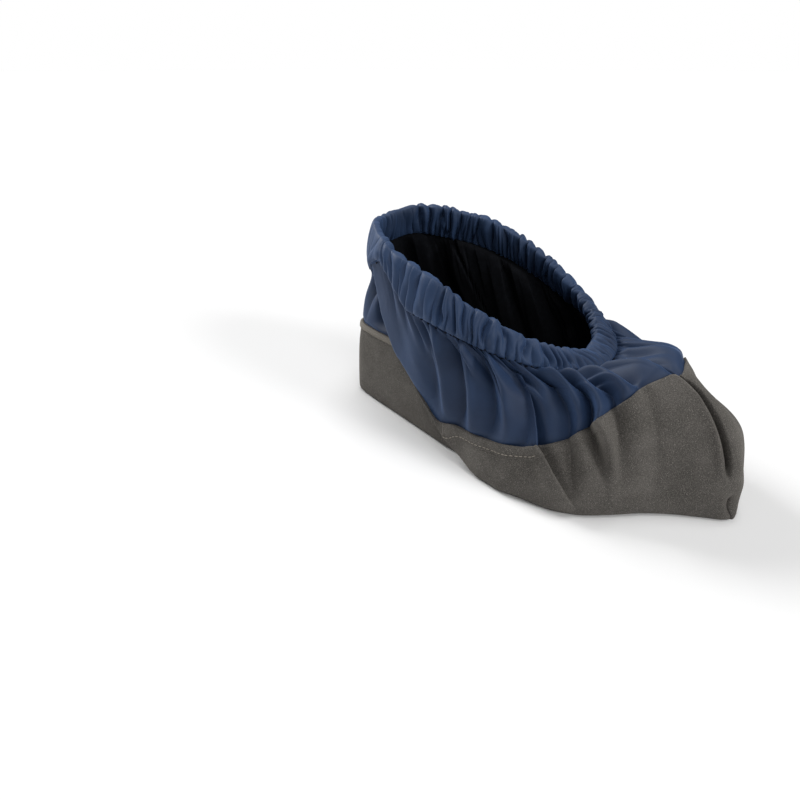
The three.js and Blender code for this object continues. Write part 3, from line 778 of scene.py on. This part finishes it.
def ruffled_casing():
    """A flat rolled hem that stands on the stitch line, full of ruffles."""
    casing_ways = np.interp(
        np.arange(CASING_COLUMNS) / CASING_COLUMNS * ruffles.whole, ruffles.lengths, ruffles.ways
    )
    stitch, rim = stitch_point(casing_ways), rim_point(casing_ways)
    tall = np.linalg.norm(rim - stitch, axis=-1)
    up = unit(rim - stitch)
    around = unit(rim_point(casing_ways + 0.5) - rim_point(casing_ways - 0.5))
    out = unit(np.cross(around, up))
    wander = soft_noise(casing_ways, 1.0, 8, CASING_SWELLS, CASING_SWELL)
    seam = ruffles.gather(casing_ways, 0.0)
    rings = []
    for angle in np.linspace(0, 2 * math.pi, CASING_ROWS, endpoint=False):
        rise = 0.5 - 0.5 * math.cos(angle)
        face = -math.sin(angle)
        puffed = SEAM_THICKNESS + (CASING_THICKNESS - SEAM_THICKNESS) * abs(face) ** 0.6
        thick = puffed / 2 * np.sign(round(face, 6))
        side_ways = casing_ways + (INNER_TURN if face < 0 else 0)
        ripple = ruffles.lift(side_ways, rise) * (INNER_RIPPLE if face < 0 else 1)
        pinch = 0.35 + 0.65 * ease(rise, 0.0, 0.16)
        level = thick + ripple * pinch * np.sign(face) * abs(face) ** 0.4
        level = level + seam * (1 - ease(rise, 0.02, 0.25))
        height = rise * (tall + 1) - 1 + (ripple * 0.4 + wander) * ease(rise, 0.55, 1.0)
        rings.append(stitch + out * level[:, None] + up * height[:, None])
    faces = ring_faces(len(rings), CASING_COLUMNS)
    rolled = roll_over(np.array(rings), NEAR_TUCK)
    return make_piece("ruffled_casing", np.concatenate(rolled), faces, cloth_uvs(rings))


def hem_band(name, start, stop, fade_ends, thickness):
    """A sewn strip along the felt's edge, from one way round to another."""
    chosen = np.flatnonzero((ways > start) & (ways < stop))
    near = ways[chosen]
    wall = np.linalg.norm(felt_edge_point(near) - floor_point(near), axis=-1)
    ends = ease(near, start, start + fade_ends[0]) * (1 - ease(near, stop - fade_ends[1], stop))
    rings = []
    across = np.concatenate([np.linspace(1, 0, BAND_FACE_ROWS), np.linspace(0, 1, BAND_BACK_ROWS)])
    for k, share in enumerate(across):
        high = 1 - (1 - share) * BAND_WIDTH / wall
        spot = at_heights(heights, outer_wall[:, chosen], high)
        normal = unit(at_heights(heights, wall_normals[:, chosen], high))
        bulge = max(0, 1 - abs(2 * share - 1) ** 4) ** 0.5
        seam = BAND_SEAM_DEPTH * math.exp(-(((share - BAND_SEAM) / BAND_SEAM_WIDTH) ** 2))
        out = BAND_CLEAR + thickness * (0.12 + 0.88 * ends) * (bulge - seam)
        if k >= BAND_FACE_ROWS:
            out = np.full(len(near), -BAND_SUNK)
        rings.append(spot + normal * out[:, None])
    count, total = len(near), len(rings)
    i = np.arange(count - 1)
    faces = []
    for j in range(total):
        here, above = j * count + i, (j + 1) % total * count + i
        faces += np.stack([here, above, above + 1, here + 1], 1).tolist()
    faces.append([j * count for j in range(total)][::-1])
    faces.append([j * count + count - 1 for j in range(total)])
    return make_piece(name, np.concatenate(rings), faces)


def thread_stitches(name, spots, directions, normals, long, thick):
    """Short raised stitches, each a bead of a few faces."""
    stations = ((-0.5, 0.25), (-0.3, 1.0), (0.3, 1.0), (0.5, 0.25))
    sides = 6
    verts, faces = [], []
    for spot, direction, normal in zip(spots, directions, normals):
        across = np.cross(direction, normal)
        base = len(verts)
        for place, width in stations:
            for k in range(sides):
                turn = 2 * math.pi * k / sides
                ring = across * math.cos(turn) + normal * math.sin(turn)
                verts.append(spot + direction * place * long + ring * thick * width)
        for j in range(len(stations) - 1):
            for k in range(sides):
                a, b = base + j * sides + k, base + j * sides + (k + 1) % sides
                faces.append([a, b, b + sides, a + sides])
        faces.append([base + k for k in range(sides)][::-1])
        faces.append([base + (len(stations) - 1) * sides + k for k in range(sides)])
    return make_piece(name, np.array(verts), faces)


def casing_stitches():
    """The line of stitches that closes the casing."""
    count = int(ruffles.whole * 1.15 / CASING_STITCH_PITCH)
    index = (np.arange(count) * len(ways) / count).astype(int)
    row = len(heights) - 3
    spots = outer_wall[row, index] + wall_normals[row, index] * 0.3
    directions = unit(outer_wall[row, (index + 2) % len(ways)] - outer_wall[row, index - 2])
    return thread_stitches("casing_stitches", spots, directions, wall_normals[row, index], 2.2, 0.5)


def band_stitches(name, start, stop, thickness):
    """The light thread along the lower edge of a hem band."""
    chosen = np.flatnonzero((ways > start) & (ways < stop))
    wall = np.linalg.norm(felt_edge_point(ways) - floor_point(ways), axis=-1)
    high = 1 - (1 - BAND_SEAM) * BAND_WIDTH / wall
    spots = at_heights(heights, outer_wall, high)
    normals = unit(at_heights(heights, wall_normals, high))
    lengths = np.cumsum(np.linalg.norm(np.diff(spots[chosen], axis=0), axis=-1))
    picks = chosen[np.searchsorted(lengths, np.arange(0, lengths[-1], BAND_STITCH_PITCH))]
    directions = unit(spots[(picks + 2) % len(ways)] - spots[picks - 2])
    raised = spots[picks] + normals[picks] * (BAND_CLEAR + 0.75 * thickness)
    return thread_stitches(name, raised, directions, normals[picks], 2.4, 0.28)


# Materials

def linear(red, green, blue):
    """Screen colour, each from 0 to 255, as Blender's linear colour."""
    def one(value):
        value = value / 255
        return value / 12.92 if value <= 0.04045 else ((value + 0.055) / 1.055) ** 2.4
    return (one(red), one(green), one(blue), 1.0)


class Finish:
    """A node material with its shader, and short helpers to add nodes to it."""

    def __init__(self, name, roughness, specular, sheen=0.0, sheen_tint=(1, 1, 1, 1)):
        self.material = bpy.data.materials.new(name)
        self.material.use_nodes = True
        self.tree = self.material.node_tree
        self.shader = self.tree.nodes["Principled BSDF"]
        self.shader.inputs["Roughness"].default_value = roughness
        self.shader.inputs["Sheen Weight"].default_value = sheen
        self.shader.inputs["Sheen Roughness"].default_value = 0.5
        self.shader.inputs["Sheen Tint"].default_value = sheen_tint
        self.shader.inputs["Specular IOR Level"].default_value = specular

    def node(self, kind, settings=(), **inputs):
        node = self.tree.nodes.new(kind)
        for key, value in dict(settings).items():
            setattr(node, key, value)
        for key, value in inputs.items():
            self.give(node.inputs[key], value)
        return node

    def give(self, socket, value):
        """A link from another node's socket, or a value of the socket's own."""
        if isinstance(value, bpy.types.NodeSocket):
            self.tree.links.new(value, socket)
        else:
            socket.default_value = value

    def noise(self, vector, scale, detail=3.0, roughness=0.55):
        return self.node("ShaderNodeTexNoise", Vector=vector, Scale=scale, Detail=detail,
                         Roughness=roughness).outputs["Fac"]

    def ramp(self, value, stops):
        node = self.node("ShaderNodeValToRGB", Fac=value)
        ramp = node.color_ramp
        while len(ramp.elements) < len(stops):
            ramp.elements.new(0.5)
        for element, (place, colour) in zip(ramp.elements, stops):
            element.position = place
            element.color = colour
        return node.outputs["Color"]

    def mix(self, share, first, second):
        node = self.node("ShaderNodeMix", {"data_type": "RGBA", "blend_type": "MIX"})
        for place, value in ((0, share), (6, first), (7, second)):
            self.give(node.inputs[place], value)
        return node.outputs[2]

    def bump(self, height, strength, distance, below=None):
        node = self.node("ShaderNodeBump", Height=height, Strength=strength, Distance=distance)
        if below is not None:
            self.tree.links.new(below, node.inputs["Normal"])
        return node.outputs["Normal"]

    def wear(self, colour, normal):
        self.tree.links.new(colour, self.shader.inputs["Base Color"])
        self.tree.links.new(normal, self.shader.inputs["Normal"])


def cloth_finish(name, base, dark, light):
    """Smooth, tightly woven cloth with a faint diagonal weave and soft sheen."""
    finish = Finish(name, 0.6, sheen=0.25, sheen_tint=linear(120, 155, 215), specular=0.3)
    uv = finish.node("ShaderNodeUVMap", {"uv_map": "cloth"}).outputs["UV"]
    where = finish.node("ShaderNodeTexCoord").outputs["Object"]
    weave = finish.node(
        "ShaderNodeTexWave", {"wave_type": "BANDS", "bands_direction": "DIAGONAL"},
        Vector=uv, Scale=420.0, Distortion=0.6, Detail=1.0,
    ).outputs["Fac"]
    threads = finish.noise(uv, 1900.0, 2.0)
    patches = finish.noise(where, 28.0, 3.0)
    mottle = finish.ramp(patches, ((0.3, dark), (0.52, base), (0.75, light)))
    colour = finish.mix(0.16, mottle, finish.ramp(threads, ((0.35, dark), (0.65, light))))
    normal = finish.bump(weave, 0.12, 0.00012)
    normal = finish.bump(finish.noise(where, 160.0, 4.0), 0.16, 0.0008, normal)
    finish.wear(colour, normal)
    return finish.material


def felt_finish(name, base, dark, light, speck):
    """Short-napped felt: speckled light and dark fibres over a soft mottled ground."""
    finish = Finish(name, 0.95, sheen=0.3, sheen_tint=linear(170, 165, 155), specular=0.2)
    where = finish.node("ShaderNodeTexCoord").outputs["Object"]
    patches = finish.noise(where, 45.0, 4.0)
    ground = finish.ramp(patches, ((0.3, dark), (0.5, base), (0.72, light)))
    fibres = finish.noise(where, 1500.0, 3.0, 0.7)
    colour = finish.mix(0.55, ground, finish.ramp(fibres, ((0.34, dark), (0.5, base), (0.66, light))))
    specks = finish.ramp(finish.noise(where, 2600.0, 2.0, 0.6),
                         ((0.58, (0, 0, 0, 1)), (0.74, (1, 1, 1, 1))))
    colour = finish.mix(specks, colour, speck)
    normal = finish.bump(fibres, 0.5, 0.0006)
    normal = finish.bump(finish.noise(where, 240.0, 3.0), 0.3, 0.0008, normal)
    finish.wear(colour, normal)
    return finish.material


def plain_finish(name, dark, light, roughness, scale):
    finish = Finish(name, roughness, specular=0.15)
    where = finish.node("ShaderNodeTexCoord").outputs["Object"]
    grain = finish.noise(where, scale, 3.0)
    finish.wear(finish.ramp(grain, ((0.35, dark), (0.65, light))), finish.bump(grain, 0.2, 0.0003))
    return finish.material


blue_cloth = cloth_finish("blue_cloth", linear(31, 49, 77), linear(25, 41, 67), linear(37, 57, 88))
# The casing's blue is lighter than the body's: painted light on the casing, which is a hem of the same
# cloth.
hem_cloth_painted_light = cloth_finish("hem_cloth_painted_light", linear(38, 57, 87), linear(30, 47, 74), linear(46, 67, 99))
grey_felt = felt_finish("grey_felt", linear(80, 77, 74), linear(58, 56, 53), linear(102, 99, 95),
                        linear(158, 153, 146))
# The heel hem's felt is lighter than the rest of the felt: painted light on the raised hem.
grey_hem_painted_light = felt_finish("grey_hem_painted_light", linear(118, 114, 107), linear(100, 96, 90), linear(136, 131, 123),
                       linear(165, 159, 149))
# Near black: the dark inside and the deep shade in it, painted, and painted shadow on the cloth's
# hidden margin
dark_inside_and_shade = plain_finish("dark_inside_and_shade", linear(5, 6, 10), linear(11, 13, 18), 0.95, 300.0)
dark_thread = plain_finish("dark_thread", linear(12, 16, 26), linear(20, 27, 42), 0.8, 900.0)
light_thread = plain_finish("light_thread", linear(130, 124, 115), linear(158, 151, 141), 0.7, 900.0)

# The pieces
sole = felt_sole()
upper = cloth_upper()
casing = ruffled_casing()
heel_band = hem_band("heel_hem", 127, 233, (4, 4), HEEL_BAND_THICKNESS)
left_band = hem_band("left_hem", 42, 97, (26, 3), SIDE_BAND_THICKNESS)
right_band = hem_band("right_hem", 263, 318, (3, 26), SIDE_BAND_THICKNESS)
stitches = casing_stitches()
heel_thread = band_stitches("heel_thread", 129, 231, HEEL_BAND_THICKNESS)
left_thread = band_stitches("left_thread", 60, 96, SIDE_BAND_THICKNESS)
right_thread = band_stitches("right_thread", 264, 298, SIDE_BAND_THICKNESS)

for piece, *finishes in (
    (sole, grey_felt, dark_inside_and_shade), (upper, blue_cloth, dark_inside_and_shade), (casing, hem_cloth_painted_light),
    (heel_band, grey_hem_painted_light), (left_band, grey_felt), (right_band, grey_felt),
    (stitches, dark_thread), (heel_thread, light_thread), (left_thread, light_thread),
    (right_thread, light_thread),
):
    for finish in finishes:
        piece.data.materials.append(finish)
    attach(piece, "root")

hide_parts("sole_shell")
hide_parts("upper")
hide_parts("elastic_casing")
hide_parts("heel_band")
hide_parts("side_band_left")
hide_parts("side_band_right")


# Floor, light and camera

def pale_floor():
    bpy.ops.object.select_all(action="DESELECT")
    bpy.ops.mesh.primitive_plane_add(size=60, location=(0, 0, 0))
    floor = bpy.context.object
    floor.name = "studio_floor"
    finish = Finish("studio_white", 0.9, specular=0.1)
    finish.shader.inputs["Base Color"].default_value = (0.86, 0.86, 0.86, 1)
    floor.data.materials.append(finish.material)


def studio_light(name, source, softness, strength):
    """A broad soft light, even over the whole floor, that shines from the source's direction."""
    data = bpy.data.lights.new(name, "SUN")
    data.angle = math.radians(softness)
    data.energy = strength
    lamp = bpy.data.objects.new(name, data)
    lamp.location = Vector(source)
    lamp.rotation_euler = (-Vector(source)).to_track_quat("-Z", "Y").to_euler()
    bpy.context.scene.collection.objects.link(lamp)


def studio_world():
    """Weak light from all round, and a plain white backdrop where the camera sees past the floor."""
    world = bpy.data.worlds.new("studio")
    bpy.context.scene.world = world
    world.use_nodes = True
    nodes, links = world.node_tree.nodes, world.node_tree.links
    sky = nodes["Background"]
    backdrop = nodes.new("ShaderNodeBackground")
    for shader, strength in ((sky, 0.18), (backdrop, 1.0)):
        shader.inputs["Color"].default_value = (1, 1, 1, 1)
        shader.inputs["Strength"].default_value = strength
    either = nodes.new("ShaderNodeMixShader")
    links.new(nodes.new("ShaderNodeLightPath").outputs["Is Camera Ray"], either.inputs[0])
    links.new(sky.outputs[0], either.inputs[1])
    links.new(backdrop.outputs[0], either.inputs[2])
    links.new(either.outputs[0], nodes["World Output"].inputs["Surface"])


pale_floor()
studio_light("overhead", (0.0, 0.12, 1.0), 30, 1.4)
studio_light("high_front", (1.0, -0.6, 1.0), 26, 0.5)
studio_light("from_toe", (1.0, 0.1, 0.5), 16, 1.1)
studio_light("from_heel", (-1.0, -0.02, 0.65), 22, 2.0)
studio_world()
bpy.context.scene.view_settings.view_transform = "Standard"

# Camera: the photograph's angle, distance and field of view
CAMERA_AZIMUTH = math.radians(43.8)
CAMERA_HEIGHT = math.radians(27.6)
CAMERA_DISTANCE = 526
CAMERA_AIM = (-105, -26, 0)
FOCAL_PIXELS = 640
FRAME_PIXELS = 800


def photo_camera():
    data = bpy.data.cameras.new("camera")
    data.sensor_width = 36
    data.lens = FOCAL_PIXELS * data.sensor_width / FRAME_PIXELS
    camera = bpy.data.objects.new("camera", data)
    back = Vector((
        math.sin(CAMERA_AZIMUTH) * math.cos(CAMERA_HEIGHT),
        -math.cos(CAMERA_AZIMUTH) * math.cos(CAMERA_HEIGHT),
        math.sin(CAMERA_HEIGHT),
    ))
    camera.location = (Vector(CAMERA_AIM) + Vector(AXIS_PLACE) + back * CAMERA_DISTANCE) * MM
    camera.rotation_euler = (-back).to_track_quat("-Z", "Y").to_euler()
    bpy.context.scene.collection.objects.link(camera)
    bpy.context.scene.camera = camera


photo_camera()
